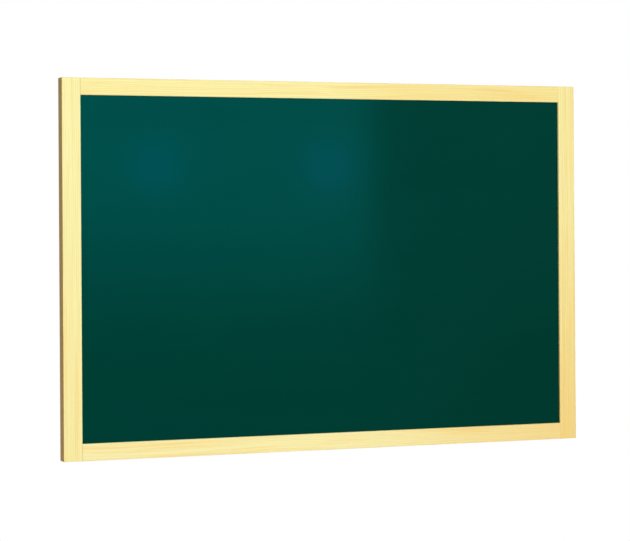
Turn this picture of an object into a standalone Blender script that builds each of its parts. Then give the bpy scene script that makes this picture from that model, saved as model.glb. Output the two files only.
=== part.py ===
"""Wall chalkboard in a pine frame, 900 by 600 mm.

The board hangs in the XZ plane. Its face looks along -Y, +X is to the viewer's right and +Z is up.
The origin is the middle of the wall plane, where the backs of the bumpers lie.
Two stiles run the full height and two rails fit between them, each corner on two blind dowels.
A rebate round the back of the frame takes the writing panel, which beads and pins hold in.
"""

import math

import bmesh
import bpy
from mathutils import Matrix, Vector

# Frame, in metres
BOARD_WIDTH = 0.900
BOARD_HEIGHT = 0.600
STILE_WIDTH = 0.030
RAIL_WIDTH = 0.027
LIP_THICKNESS = 0.0040
REBATE_WIDTH = 0.0080
ARRIS = 0.0006
ARRIS_STEPS = 2

# Clearances
SEAT_GAP = 0.0003
PANEL_CLEARANCE = 0.0005
HOLE_CLEARANCE = 0.0003
CUT_MARGIN = 0.0020

# Writing panel, from front to back
SHEET_THICKNESS = 0.0006
CORE_THICKNESS = 0.0090
BACKING_THICKNESS = 0.0004

# Beads that hold the panel in the rebate
BEAD_WIDTH = 0.0095
BEAD_THICKNESS = 0.0068
BEAD_ARRIS = 0.0008

# Corner dowels
DOWEL_DIAMETER = 0.0060
DOWEL_LENGTH = 0.030
DOWEL_EDGE_WOOD = 0.0025
DOWEL_CHAMFER = 0.0008

# Panel pins through the beads
PIN_DIAMETER = 0.0014
PIN_BITE = 0.0070
PIN_POINT = 0.0020
PIN_HEAD_DIAMETER = 0.0026
PIN_HEAD_THICKNESS = 0.0006
PIN_END_INSET = 0.045
LONG_BEAD_PIN_COUNT = 3
SHORT_BEAD_PIN_COUNT = 2

# Ring hangers on the backs of the stiles
HANGER_DROP = 0.100
STRAP_WIDTH = 0.0100
STRAP_GAUGE = 0.0008
STRAP_TAIL = 0.0060
STRAP_END_RADIUS = 0.0030
BORE_CLEARANCE = 0.00025
RING_WIRE_DIAMETER = 0.0020
RING_SIDE_PLAY = 0.0020
RING_CORNER_RADIUS = 0.0020
RING_SIDE_LENGTH = 0.0032

# Pan-head screws in the hangers
SCREW_DIAMETER = 0.0030
SCREW_LENGTH = 0.0130
SCREW_POINT = 0.0030
SCREW_HEAD_DIAMETER = 0.0062
SCREW_HEAD_HEIGHT = 0.0021
SCREW_PITCH = 0.0120
SCREW_RING_CLEARANCE = 0.0015
RECESS_LENGTH = 0.0034
RECESS_WIDTH = 0.0008
RECESS_DEPTH = 0.0011

# Wall bumpers at the corners
BUMPER_DIAMETER = 0.0110
BUMPER_THICKNESS = 0.0045
BUMPER_ROUNDING = 0.0008
BUMPER_END_INSET = 0.016

# Facets of round pieces
ROUND_SIDES = 24
SMALL_SIDES = 12
RING_ARC_STEPS = 16
RING_CORNER_STEPS = 4
BARREL_STEPS = 18
ROUNDING_STEPS = 4
SHARP_ANGLE = math.radians(35)

# Depths worked out from the stack of panel layers, front to back
panel_depth = SHEET_THICKNESS + CORE_THICKNESS + BACKING_THICKNESS + 2 * SEAT_GAP
frame_depth = LIP_THICKNESS + panel_depth + 2 * SEAT_GAP + BEAD_THICKNESS
back_y = -BUMPER_THICKNESS - SEAT_GAP
front_y = back_y - frame_depth
middle_y = (front_y + back_y) / 2
rebate_y = front_y + LIP_THICKNESS
sheet_y = rebate_y + SEAT_GAP
core_y = sheet_y + SHEET_THICKNESS + SEAT_GAP
backing_y = core_y + CORE_THICKNESS + SEAT_GAP
bead_y = back_y - BEAD_THICKNESS
bead_middle_y = back_y - BEAD_THICKNESS / 2

# Half sizes in the plane of the board
half_width = BOARD_WIDTH / 2
half_height = BOARD_HEIGHT / 2
opening_half_width = half_width - STILE_WIDTH
opening_half_height = half_height - RAIL_WIDTH
pocket_half_width = opening_half_width + REBATE_WIDTH
pocket_half_height = opening_half_height + REBATE_WIDTH
rail_half_length = opening_half_width - SEAT_GAP
bead_half_length = pocket_half_width - SEAT_GAP
side_bead_half_length = pocket_half_height - BEAD_WIDTH - 2 * SEAT_GAP

# Middle of the solid wood at the back of a stile, where hangers and bumpers are fixed
fixing_x = (half_width + pocket_half_width) / 2

# Dowel places across a rail, measured from the middle of the board
dowel_radius = DOWEL_DIAMETER / 2
outer_dowel_z = half_height - DOWEL_EDGE_WOOD - dowel_radius
inner_dowel_z = pocket_half_height + DOWEL_EDGE_WOOD + dowel_radius
joint_x = opening_half_width - SEAT_GAP / 2

# Hanger geometry, measured from the axis of the ring's straight side
ring_wire_radius = RING_WIRE_DIAMETER / 2
bore_radius = ring_wire_radius + BORE_CLEARANCE
barrel_radius = bore_radius + STRAP_GAUGE
plate_thickness = 2 * STRAP_GAUGE
ring_half_width = STRAP_WIDTH / 2 + RING_SIDE_PLAY + ring_wire_radius
ring_reach = RING_SIDE_LENGTH + ring_half_width
ring_rise = plate_thickness + SEAT_GAP + ring_wire_radius - barrel_radius
ring_rest_tilt = math.asin(ring_rise / ring_reach)
hanger_y = back_y + SEAT_GAP + barrel_radius
hanger_z = half_height - HANGER_DROP
first_screw_drop = ring_reach + ring_wire_radius + SCREW_RING_CLEARANCE + SCREW_HEAD_DIAMETER / 2
screw_drops = (first_screw_drop, first_screw_drop + SCREW_PITCH)
strap_length = screw_drops[-1] + STRAP_TAIL


def clear_scene():
    """Remove every object that the scene holds."""
    for obj in list(bpy.data.objects):
        bpy.data.objects.remove(obj, do_unlink=True)


def linear(channel):
    """Turn one sRGB channel from 0 to 255 into a linear value."""
    value = channel / 255
    if value <= 0.04045:
        return value / 12.92
    return ((value + 0.055) / 1.055) ** 2.4


def make_material(name, srgb, roughness, metallic):
    """Return a Principled material of one sRGB colour."""
    material = bpy.data.materials.new(name)
    material.use_nodes = True
    shader = material.node_tree.nodes["Principled BSDF"]
    shader.inputs["Base Color"].default_value = (*(linear(channel) for channel in srgb), 1)
    shader.inputs["Roughness"].default_value = roughness
    shader.inputs["Metallic"].default_value = metallic
    material.diffuse_color = shader.inputs["Base Color"].default_value
    return material


def make_materials():
    """Return the board's materials by name."""
    return {
        "pine": make_material("pine", (247, 232, 164), 0.5, 0),
        "green_lacquer": make_material("green_lacquer", (0, 62, 52), 0.3, 0),
        "fibreboard": make_material("fibreboard", (150, 112, 74), 0.8, 0),
        "galvanised_sheet": make_material("galvanised_sheet", (168, 172, 174), 0.45, 1),
        "beech": make_material("beech", (214, 180, 134), 0.6, 0),
        "zinc_plated_steel": make_material("zinc_plated_steel", (198, 200, 204), 0.3, 1),
        "rubber": make_material("rubber", (62, 62, 64), 0.7, 0),
    }


def add_object(name, data, material=None, location=(0, 0, 0), rotation=(0, 0, 0)):
    """Put an object into the scene at its place and return it."""
    obj = bpy.data.objects.new(name, data)
    obj.location = location
    obj.rotation_euler = rotation
    if material is not None and not data.materials:
        data.materials.append(material)
    bpy.context.scene.collection.objects.link(obj)
    return obj


def mesh_from(bm, name):
    """Write a bmesh to a new mesh, faces outwards, and free it."""
    bmesh.ops.recalc_face_normals(bm, faces=bm.faces)
    mesh = bpy.data.meshes.new(name)
    bm.to_mesh(mesh)
    bm.free()
    return mesh


def shade_round(mesh):
    """Shade a round mesh smooth and keep its real edges sharp."""
    mesh.shade_smooth()
    mesh.set_sharp_from_angle(angle=SHARP_ANGLE)


def box_bmesh(size):
    """Return a bmesh box of a size, centred on the origin."""
    bm = bmesh.new()
    bmesh.ops.create_cube(bm, size=1)
    bmesh.ops.scale(bm, vec=size, verts=bm.verts)
    return bm


def edges_along(bm, direction):
    """Return the edges that run along a direction."""
    return [
        edge
        for edge in bm.edges
        if abs((edge.verts[0].co - edge.verts[1].co).normalized().dot(direction)) > 0.99
    ]


def add_box(name, low, high, material=None, arris=0, arris_along=()):
    """Add a box between two corners, with its edges along some directions rounded."""
    low = Vector(low)
    high = Vector(high)
    bm = box_bmesh(high - low)
    rounded = [edge for axis in arris_along for edge in edges_along(bm, Vector(axis))]
    if rounded:
        bmesh.ops.bevel(bm, geom=rounded, offset=arris, segments=ARRIS_STEPS, profile=0.5, affect="EDGES")
    return add_object(name, mesh_from(bm, name), material, (low + high) / 2)


def turned_mesh(name, profile, sides):
    """Return a closed mesh turned about Z from (radius, height) points, with both ends on the axis."""
    bm = bmesh.new()
    verts = [bm.verts.new((radius, 0, height)) for radius, height in profile]
    edges = [bm.edges.new(pair) for pair in zip(verts, verts[1:])]
    bmesh.ops.spin(
        bm,
        geom=verts + edges,
        cent=(0, 0, 0),
        axis=(0, 0, 1),
        angle=math.tau,
        steps=sides,
        use_merge=True,
    )
    bmesh.ops.remove_doubles(bm, verts=bm.verts, dist=1e-6)
    mesh = mesh_from(bm, name)
    shade_round(mesh)
    return mesh


def add_cutter(name, bm):
    """Add a cutter, which the finished model leaves out."""
    cutter = add_object(name, mesh_from(bm, name))
    cutter.hide_render = True
    cutter.display_type = "WIRE"
    return cutter


def cut(obj, cutter):
    """Cut an object with a cutter."""
    modifier = obj.modifiers.new(cutter.name, "BOOLEAN")
    modifier.operation = "DIFFERENCE"
    modifier.solver = "EXACT"
    modifier.object = cutter


def block_cutter(name, low, high):
    """Add a cutter in the shape of a box between two corners."""
    low = Vector(low)
    high = Vector(high)
    bm = box_bmesh(high - low)
    bmesh.ops.translate(bm, vec=(low + high) / 2, verts=bm.verts)
    return add_cutter(name, bm)


def drill_cutter(name, holes):
    """Add one cutter for several drilled holes, each a (mouth, direction, depth, radius, sides)."""
    bm = bmesh.new()
    for mouth, direction, depth, radius, sides in holes:
        direction = Vector(direction)
        start = Vector(mouth) - direction * CUT_MARGIN
        length = depth + CUT_MARGIN
        turn = direction.to_track_quat("Z", "Y").to_matrix().to_4x4()
        place = Matrix.Translation(start + direction * length / 2) @ turn
        bmesh.ops.create_cone(
            bm,
            cap_ends=True,
            segments=sides,
            radius1=radius,
            radius2=radius,
            depth=length,
            matrix=place,
        )
    return add_cutter(name, bm)


def finished_mesh(obj, name):
    """Return the mesh that an object's modifiers give, and remove the object and its cutters."""
    bpy.context.view_layer.update()
    evaluated = obj.evaluated_get(bpy.context.evaluated_depsgraph_get())
    mesh = bpy.data.meshes.new_from_object(evaluated)
    mesh.name = name
    cutters = [modifier.object for modifier in obj.modifiers]
    for used in [obj] + cutters:
        bpy.data.objects.remove(used, do_unlink=True)
    return mesh


def spread(count, half_span):
    """Return evenly spaced places from -half_span to half_span."""
    return [half_span * (2 * index / (count - 1) - 1) for index in range(count)]


def dowel_places():
    """Return (name, side, z) of each corner dowel."""
    places = []
    for end, up in (("top", 1), ("bottom", -1)):
        for hand, side in (("left", -1), ("right", 1)):
            places.append((f"dowel_{end}_{hand}_outer", side, up * outer_dowel_z))
            places.append((f"dowel_{end}_{hand}_inner", side, up * inner_dowel_z))
    return places


def bead_pin_places(end):
    """Return (number, position along the bead) of each pin in the bead at one edge."""
    if end in ("top", "bottom"):
        places = spread(LONG_BEAD_PIN_COUNT, bead_half_length - PIN_END_INSET)
    else:
        places = spread(SHORT_BEAD_PIN_COUNT, side_bead_half_length - PIN_END_INSET)
    return list(enumerate(places, start=1))


def pin_hole(end, along):
    """Return the hole that a pin needs in the frame, from the wall of the rebate."""
    radius = PIN_DIAMETER / 2 + HOLE_CLEARANCE
    depth = PIN_BITE + HOLE_CLEARANCE
    mouths = {
        "top": ((along, bead_middle_y, pocket_half_height), (0, 0, 1)),
        "bottom": ((along, bead_middle_y, -pocket_half_height), (0, 0, -1)),
        "left": ((-pocket_half_width, bead_middle_y, along), (-1, 0, 0)),
        "right": ((pocket_half_width, bead_middle_y, along), (1, 0, 0)),
    }
    mouth, direction = mouths[end]
    return mouth, direction, depth, radius, SMALL_SIDES


def add_stile(hand, side, material):
    """Add one full-height stile with its stopped rebate and its holes."""
    name = f"{hand}_stile"
    inner, outer = side * opening_half_width, side * half_width
    low = (min(inner, outer), front_y, -half_height)
    high = (max(inner, outer), back_y, half_height)
    stile = add_box(name, low, high, material, ARRIS, ((0, 0, 1), (1, 0, 0), (0, 1, 0)))
    wall, past = side * pocket_half_width, side * (opening_half_width - CUT_MARGIN)
    pocket = block_cutter(
        f"{name}_rebate",
        (min(wall, past), rebate_y, -pocket_half_height),
        (max(wall, past), back_y + CUT_MARGIN, pocket_half_height),
    )
    depth = DOWEL_LENGTH / 2 + HOLE_CLEARANCE
    radius = dowel_radius + HOLE_CLEARANCE
    holes = [
        ((side * opening_half_width, middle_y, z), (side, 0, 0), depth, radius, ROUND_SIDES)
        for _, dowel_side, z in dowel_places()
        if dowel_side == side
    ]
    holes += [pin_hole(hand, along) for _, along in bead_pin_places(hand)]
    screw_radius = SCREW_DIAMETER / 2 + HOLE_CLEARANCE
    for drop in screw_drops:
        mouth = (side * fixing_x, back_y, hanger_z - drop)
        holes.append((mouth, (0, -1, 0), SCREW_LENGTH, screw_radius, SMALL_SIDES))
    cut(stile, pocket)
    cut(stile, drill_cutter(f"{name}_holes", holes))
    return stile


def add_rail(end, up, material):
    """Add one rail between the stiles, with its rebate and its holes."""
    name = f"{end}_rail"
    inner, outer = up * opening_half_height, up * half_height
    low = (-rail_half_length, front_y, min(inner, outer))
    high = (rail_half_length, back_y, max(inner, outer))
    rail = add_box(name, low, high, material, ARRIS, ((1, 0, 0),))
    wall, past = up * pocket_half_height, up * (opening_half_height - CUT_MARGIN)
    pocket = block_cutter(
        f"{name}_rebate",
        (-half_width, rebate_y, min(wall, past)),
        (half_width, back_y + CUT_MARGIN, max(wall, past)),
    )
    depth = DOWEL_LENGTH / 2 + HOLE_CLEARANCE
    radius = dowel_radius + HOLE_CLEARANCE
    holes = [
        ((side * rail_half_length, middle_y, z), (-side, 0, 0), depth, radius, ROUND_SIDES)
        for _, side, z in dowel_places()
        if z * up > 0
    ]
    holes += [pin_hole(end, along) for _, along in bead_pin_places(end)]
    cut(rail, pocket)
    cut(rail, drill_cutter(f"{name}_holes", holes))
    return rail


def add_dowels(material):
    """Add two blind dowels in each corner joint."""
    half = DOWEL_LENGTH / 2 - HOLE_CLEARANCE
    profile = (
        (0, -half),
        (dowel_radius - DOWEL_CHAMFER, -half),
        (dowel_radius, -half + DOWEL_CHAMFER),
        (dowel_radius, half - DOWEL_CHAMFER),
        (dowel_radius - DOWEL_CHAMFER, half),
        (0, half),
    )
    mesh = turned_mesh("dowel", profile, ROUND_SIDES)
    for name, side, z in dowel_places():
        add_object(name, mesh, material, (side * joint_x, middle_y, z), (0, math.radians(90), 0))


def add_panel(materials):
    """Add the three layers of the writing panel."""
    x = pocket_half_width - PANEL_CLEARANCE
    z = pocket_half_height - PANEL_CLEARANCE
    layers = (
        ("writing_sheet", sheet_y, SHEET_THICKNESS, "green_lacquer"),
        ("core_board", core_y, CORE_THICKNESS, "fibreboard"),
        ("backing_sheet", backing_y, BACKING_THICKNESS, "galvanised_sheet"),
    )
    for name, y, thickness, material in layers:
        add_box(name, (-x, y, -z), (x, y + thickness, z), materials[material])


def add_bead(end, low, high, length_axis, material):
    """Add one bead behind the panel, with its pin holes right through."""
    bead = add_box(f"{end}_bead", low, high, material, BEAD_ARRIS, (length_axis,))
    radius = PIN_DIAMETER / 2 + HOLE_CLEARANCE
    holes = []
    for _, along in bead_pin_places(end):
        mouth, direction, _, _, sides = pin_hole(end, along)
        start = Vector(mouth) - Vector(direction) * (BEAD_WIDTH + SEAT_GAP)
        holes.append((start, direction, BEAD_WIDTH + CUT_MARGIN, radius, sides))
    cut(bead, drill_cutter(f"{end}_bead_holes", holes))
    return bead


def add_beads(material):
    """Add the long beads above and below, and the short beads fitted between them."""
    outer_z = pocket_half_height - SEAT_GAP
    inner_z = outer_z - BEAD_WIDTH
    outer_x = pocket_half_width - SEAT_GAP
    inner_x = outer_x - BEAD_WIDTH
    side_z = side_bead_half_length
    along_x = (1, 0, 0)
    along_z = (0, 0, 1)
    add_bead("top", (-outer_x, bead_y, inner_z), (outer_x, back_y, outer_z), along_x, material)
    add_bead("bottom", (-outer_x, bead_y, -outer_z), (outer_x, back_y, -inner_z), along_x, material)
    add_bead("left", (-outer_x, bead_y, -side_z), (-inner_x, back_y, side_z), along_z, material)
    add_bead("right", (inner_x, bead_y, -side_z), (outer_x, back_y, side_z), along_z, material)


def add_bead_pins(material):
    """Add the pins, each with its head on the inner face of its bead."""
    shank = PIN_DIAMETER / 2
    head = PIN_HEAD_DIAMETER / 2
    length = SEAT_GAP + BEAD_WIDTH + SEAT_GAP + PIN_BITE
    profile = (
        (0, -length),
        (shank, PIN_POINT - length),
        (shank, 0),
        (head, 0),
        (head, PIN_HEAD_THICKNESS),
        (0, PIN_HEAD_THICKNESS),
    )
    mesh = turned_mesh("bead_pin", profile, SMALL_SIDES)
    for end in ("top", "bottom", "left", "right"):
        for number, along in bead_pin_places(end):
            mouth, direction, _, _, _ = pin_hole(end, along)
            direction = Vector(direction)
            place = Vector(mouth) - direction * (length - PIN_BITE)
            turn = (-direction).to_track_quat("Z", "Y").to_euler()
            add_object(f"bead_pin_{end}_{number}", mesh, material, place, turn)


def strap_outline(outer_y):
    """Return the strap's side view: the plate's back, the barrel's arc and the plate's face."""
    sweep = math.tau - math.acos(-outer_y / barrel_radius)
    outline = [(-barrel_radius, -strap_length)]
    for index in range(BARREL_STEPS + 1):
        angle = sweep * index / BARREL_STEPS
        outline.append((-barrel_radius * math.cos(angle), barrel_radius * math.sin(angle)))
    outline.append((outer_y, -strap_length))
    return outline


def strap_mesh():
    """Return a folded strap: a flat double plate that ends in a barrel round the ring."""
    outer_y = plate_thickness - barrel_radius
    bm = bmesh.new()
    side = bm.faces.new([bm.verts.new((-STRAP_WIDTH / 2, y, z)) for y, z in strap_outline(outer_y)])
    extruded = bmesh.ops.extrude_face_region(bm, geom=[side])["geom"]
    moved = [item for item in extruded if isinstance(item, bmesh.types.BMVert)]
    bmesh.ops.translate(bm, vec=(STRAP_WIDTH, 0, 0), verts=moved)
    corners = [
        edge
        for edge in edges_along(bm, Vector((0, 1, 0)))
        if max(vert.co.z for vert in edge.verts) < -strap_length / 2
    ]
    bmesh.ops.bevel(
        bm,
        geom=corners,
        offset=STRAP_END_RADIUS,
        segments=ROUNDING_STEPS,
        profile=0.5,
        affect="EDGES",
    )
    strap = add_object("strap_blank", mesh_from(bm, "strap_blank"))
    mouth = (-STRAP_WIDTH / 2, 0, 0)
    bore = (mouth, (1, 0, 0), STRAP_WIDTH + CUT_MARGIN, bore_radius, ROUND_SIDES)
    hole_radius = SCREW_DIAMETER / 2 + HOLE_CLEARANCE
    holes = [
        ((0, outer_y, -drop), (0, -1, 0), plate_thickness + CUT_MARGIN, hole_radius, ROUND_SIDES)
        for drop in screw_drops
    ]
    cut(strap, drill_cutter("strap_holes", [bore] + holes))
    mesh = finished_mesh(strap, "hanger_strap")
    shade_round(mesh)
    return mesh


def arc_points(centre_x, centre_z, radius, start, end, steps):
    """Return points along an arc in the ring's plane, angles in degrees from +X towards -Z."""
    points = []
    for index in range(steps + 1):
        angle = math.radians(start + (end - start) * index / steps)
        points.append((centre_x + radius * math.cos(angle), centre_z - radius * math.sin(angle)))
    return points


def ring_curve():
    """Return the ring: a straight side on the axis, two round corners and a half circle."""
    corner = RING_CORNER_RADIUS
    inset = ring_half_width - corner
    path = arc_points(inset, -corner, corner, -90, 0, RING_CORNER_STEPS)
    path += arc_points(0, -RING_SIDE_LENGTH, ring_half_width, 0, 180, RING_ARC_STEPS)
    path += arc_points(-inset, -corner, corner, 180, 270, RING_CORNER_STEPS)
    curve = bpy.data.curves.new("hanger_ring", "CURVE")
    curve.dimensions = "3D"
    curve.bevel_depth = ring_wire_radius
    curve.bevel_resolution = 3
    spline = curve.splines.new("POLY")
    spline.points.add(len(path) - 1)
    for point, (x, z) in zip(spline.points, path):
        point.co = (x, 0, z, 1)
    spline.use_cyclic_u = True
    return curve


def screw_mesh():
    """Return a pan-head screw that points along -Z, with a cross recess in its head."""
    shank = SCREW_DIAMETER / 2
    head = SCREW_HEAD_DIAMETER / 2
    profile = [(0, -SCREW_LENGTH), (shank, SCREW_POINT - SCREW_LENGTH), (shank, 0), (head, 0)]
    for index in range(1, ROUNDING_STEPS + 1):
        angle = math.radians(90) * index / ROUNDING_STEPS
        radius = head * (1 + math.cos(angle)) / 2
        profile.append((radius, SCREW_HEAD_HEIGHT * (1 + math.sin(angle)) / 2))
    profile.insert(4, (head, SCREW_HEAD_HEIGHT / 2))
    profile.append((0, SCREW_HEAD_HEIGHT))
    screw = add_object("screw_blank", turned_mesh("screw_blank", profile, ROUND_SIDES))
    floor_z = SCREW_HEAD_HEIGHT - RECESS_DEPTH
    top_z = SCREW_HEAD_HEIGHT + CUT_MARGIN
    for name, x, y in (("recess_x", RECESS_LENGTH, RECESS_WIDTH), ("recess_y", RECESS_WIDTH, RECESS_LENGTH)):
        cut(screw, block_cutter(name, (-x / 2, -y / 2, floor_z), (x / 2, y / 2, top_z)))
    mesh = finished_mesh(screw, "hanger_screw")
    shade_round(mesh)
    return mesh


def add_hangers(material):
    """Add a strap, a hanging ring and two screws to the back of each stile."""
    strap = strap_mesh()
    ring = ring_curve()
    screw = screw_mesh()
    face_y = hanger_y - barrel_radius + plate_thickness + SEAT_GAP
    point_inwards = (math.radians(-90), 0, 0)
    for hand, side in (("left", -1), ("right", 1)):
        place = (side * fixing_x, hanger_y, hanger_z)
        add_object(f"hanger_strap_{hand}", strap, material, place)
        add_object(f"hanger_ring_{hand}", ring, material, place, (ring_rest_tilt, 0, 0))
        for position, drop in zip(("upper", "lower"), screw_drops):
            place = (side * fixing_x, face_y, hanger_z - drop)
            add_object(f"hanger_screw_{hand}_{position}", screw, material, place, point_inwards)


def add_bumpers(material):
    """Add a round bumper at each corner, its back on the wall plane."""
    radius = BUMPER_DIAMETER / 2
    profile = [(0, 0), (radius, 0)]
    for index in range(ROUNDING_STEPS + 1):
        angle = math.radians(90) * index / ROUNDING_STEPS
        rounded = radius - BUMPER_ROUNDING * (1 - math.cos(angle))
        profile.append((rounded, BUMPER_THICKNESS - BUMPER_ROUNDING * (1 - math.sin(angle))))
    profile.append((0, BUMPER_THICKNESS))
    mesh = turned_mesh("bumper", profile, ROUND_SIDES)
    point_to_wall = (math.radians(-90), 0, 0)
    bumper_z = half_height - BUMPER_END_INSET
    for end, up in (("top", 1), ("bottom", -1)):
        for hand, side in (("left", -1), ("right", 1)):
            place = (side * fixing_x, -BUMPER_THICKNESS, up * bumper_z)
            add_object(f"bumper_{end}_{hand}", mesh, material, place, point_to_wall)


def main():
    """Build the board."""
    clear_scene()
    materials = make_materials()
    add_stile("left", -1, materials["pine"])
    add_stile("right", 1, materials["pine"])
    add_rail("top", 1, materials["pine"])
    add_rail("bottom", -1, materials["pine"])
    add_dowels(materials["beech"])
    add_panel(materials)
    add_beads(materials["pine"])
    add_bead_pins(materials["zinc_plated_steel"])
    add_hangers(materials["zinc_plated_steel"])
    add_bumpers(materials["rubber"])


main()
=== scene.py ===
"""Looks, light and camera for a wall chalkboard in a pine frame.

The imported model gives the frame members, the writing panel and the dowels, which keep their shapes and
get their finishes here. The beads, pins, hangers and bumpers are built again with finer surfaces, and
the frame's joints get their glue lines.
"""

import logging
import math
from dataclasses import dataclass
from enum import Enum

import bpy
import numpy as np
from bpy.types import Material, Mesh, Node, NodeSocket, NodeTree, Object, World
from mathutils import Matrix, Vector


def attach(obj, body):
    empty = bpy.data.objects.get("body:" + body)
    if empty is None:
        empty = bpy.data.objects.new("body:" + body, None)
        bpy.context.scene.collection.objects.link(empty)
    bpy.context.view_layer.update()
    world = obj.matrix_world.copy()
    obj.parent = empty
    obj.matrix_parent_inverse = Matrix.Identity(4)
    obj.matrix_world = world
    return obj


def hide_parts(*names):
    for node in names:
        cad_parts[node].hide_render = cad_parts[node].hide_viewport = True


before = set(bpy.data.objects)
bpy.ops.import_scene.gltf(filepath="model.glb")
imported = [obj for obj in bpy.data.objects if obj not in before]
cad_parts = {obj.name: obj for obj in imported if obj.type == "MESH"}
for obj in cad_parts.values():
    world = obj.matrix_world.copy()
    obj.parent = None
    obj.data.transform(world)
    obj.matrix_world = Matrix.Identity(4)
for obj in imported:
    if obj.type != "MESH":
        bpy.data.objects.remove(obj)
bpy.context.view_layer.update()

LOG = logging.getLogger("chalkboard")
TURN = 2 * math.pi
SHARP_FROM = math.radians(38)
TO_WALL = (0.0, 1.0, 0.0)
# Names and signs of the board's two sides and four corners
HANDS = (("left", -1), ("right", 1))
CORNERS = [(f"{end}_{hand}", up, side) for end, up in (("top", 1), ("bottom", -1)) for hand, side in HANDS]
# Limits of most of a noise's values, as inputs of a Map Range node
NOISE_SPAN = {1: 0.3, 2: 0.7}

Array = np.ndarray
Pair = tuple[float, float]
Triple = tuple[float, float, float]
# A node's inputs by name or number, and a finish's inputs of the shader and of its bump
Inputs = dict[int | str, object]
Surface = tuple[Inputs, Inputs]


# Helpers for colours, nodes and meshes


def linear(code: str) -> tuple[float, float, float, float]:
    """Turn an sRGB hex colour into linear values.

    Args:
        code: The colour as #RRGGBB.
    Returns:
        Linear red, green and blue, with alpha 1.
    """
    channels = np.array([int(code[start : start + 2], 16) for start in (1, 3, 5)]) / 255
    dark = channels / 12.92
    light = ((channels + 0.055) / 1.055) ** 2.4
    return (*np.where(channels <= 0.04045, dark, light).tolist(), 1.0)


def add_node(
    tree: NodeTree, kind: str, inputs: Inputs | None = None, stops: tuple[Pair, ...] = (), **settings: object
) -> Node:
    """Add one node with its settings, values and links.

    By number, a Map Range takes its value, from limits and to limits as 0 to 4, and a colour Mix takes
    its share as 0 and its colours as 6 and 7.

    Args:
        tree: The node tree of a material or of the world.
        kind: Blender's type name of the node, without ShaderNode at its start.
        inputs: By the input's name or number, a value, a socket, or a node for its first output.
        stops: Position and grey level of each stop, for a node with a colour ramp.
        settings: Values of the node's own properties.
    Returns:
        The new node.
    """
    node = tree.nodes.new(f"ShaderNode{kind}")
    for name, value in settings.items():
        setattr(node, name, value)
    for name, value in (inputs or {}).items():
        source = value.outputs[0] if isinstance(value, Node) else value
        if isinstance(source, NodeSocket):
            tree.links.new(source, node.inputs[name])
        else:
            node.inputs[name].default_value = source
    for index, (position, level) in enumerate(stops):
        known = index < len(node.color_ramp.elements)
        stop = node.color_ramp.elements[index] if known else node.color_ramp.elements.new(position)
        stop.position = position
        stop.color = (level, level, level, 1.0)
    return node


def empty_tree(owner: Material | World) -> NodeTree:
    """Turn on the nodes of a material or a world, and clear them.

    Args:
        owner: The material or the world.
    Returns:
        Its node tree, with nothing in it.
    """
    owner.use_nodes = True
    owner.node_tree.nodes.clear()
    return owner.node_tree


def closed_mesh(name: str, rings: Array, joined: bool) -> Mesh:
    """Make a closed mesh from a grid of points.

    Columns run round each ring, counterclockwise as seen from where the rows lead to, and the last
    column joins the first. A face joins rows i and i + 1 at columns j and j + 1. Each end is closed
    by a fan round the mean of its ring, unless the last row joins the first.

    Args:
        name: Name of the mesh.
        rings: Points as an array of rows, columns and three coordinates, in metres.
        joined: True if the last row joins the first.
    Returns:
        The mesh, smooth where it bends gently and sharp at its edges.
    """
    rows, columns, _ = rings.shape
    index = np.arange(rows * columns).reshape(rows, columns)
    points = rings.reshape(-1, 3)
    loops = np.vstack([index, index[:1]]) if joined else index
    beside = np.roll(loops, -1, axis=1)
    faces = np.stack([loops[:-1], beside[:-1], beside[1:], loops[1:]], axis=-1).reshape(-1, 4).tolist()
    if not joined:
        points = np.vstack([points, rings[0].mean(axis=0), rings[-1].mean(axis=0)])
        first = np.full(columns, rows * columns)
        faces += np.stack([beside[0], index[0], first], axis=-1).tolist()
        faces += np.stack([index[-1], beside[-1], first + 1], axis=-1).tolist()
    mesh = bpy.data.meshes.new(name)
    mesh.from_pydata(points.tolist(), [], faces)
    mesh.polygons.foreach_set("use_smooth", np.ones(len(faces), dtype=bool))
    mesh.set_sharp_from_angle(angle=SHARP_FROM)
    return mesh


def add_piece(
    name: str, rings: Array, material: Material, body: str = "board", joined: bool = False
) -> None:
    """Add a finished piece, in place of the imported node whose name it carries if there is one.

    Args:
        name: Name of the piece.
        rings: The piece's grid of points, in its place.
        material: The piece's material.
        body: The body that the piece moves with.
        joined: True if the grid's last row joins the first.
    """
    mesh = closed_mesh(name, rings, joined)
    mesh.materials.append(material)
    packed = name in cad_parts
    piece = bpy.data.objects.new(f"{name}_finished" if packed else name, mesh)
    bpy.context.scene.collection.objects.link(piece)
    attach(piece, body)
    if packed:
        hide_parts(name)
    LOG.info("%s: %s", name, material.name)


def dress_node(name: str, material: Material) -> None:
    """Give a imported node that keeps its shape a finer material.

    Args:
        name: Name of the node.
        material: The finer material.
    """
    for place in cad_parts[name].material_slots:
        place.material = material
    LOG.info("%s: %s", name, material.name)


# Curves and surfaces


def arc(centre: Pair, radius: float, start: float, end: float, steps: int) -> tuple[Array, Array]:
    """Sample a circular arc evenly, as centre plus radius times (cosine, sine).

    Args:
        centre: Centre of the arc in its plane.
        radius: Radius of the arc, in metres.
        start: First angle in degrees.
        end: Last angle in degrees.
        steps: Number of points.
    Returns:
        The points, and the unit directions from the centre to them.
    """
    angle = np.radians(np.linspace(start, end, steps))
    outward = np.stack([np.cos(angle), np.sin(angle)], axis=-1)
    return np.array(centre) + radius * outward, outward


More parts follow.
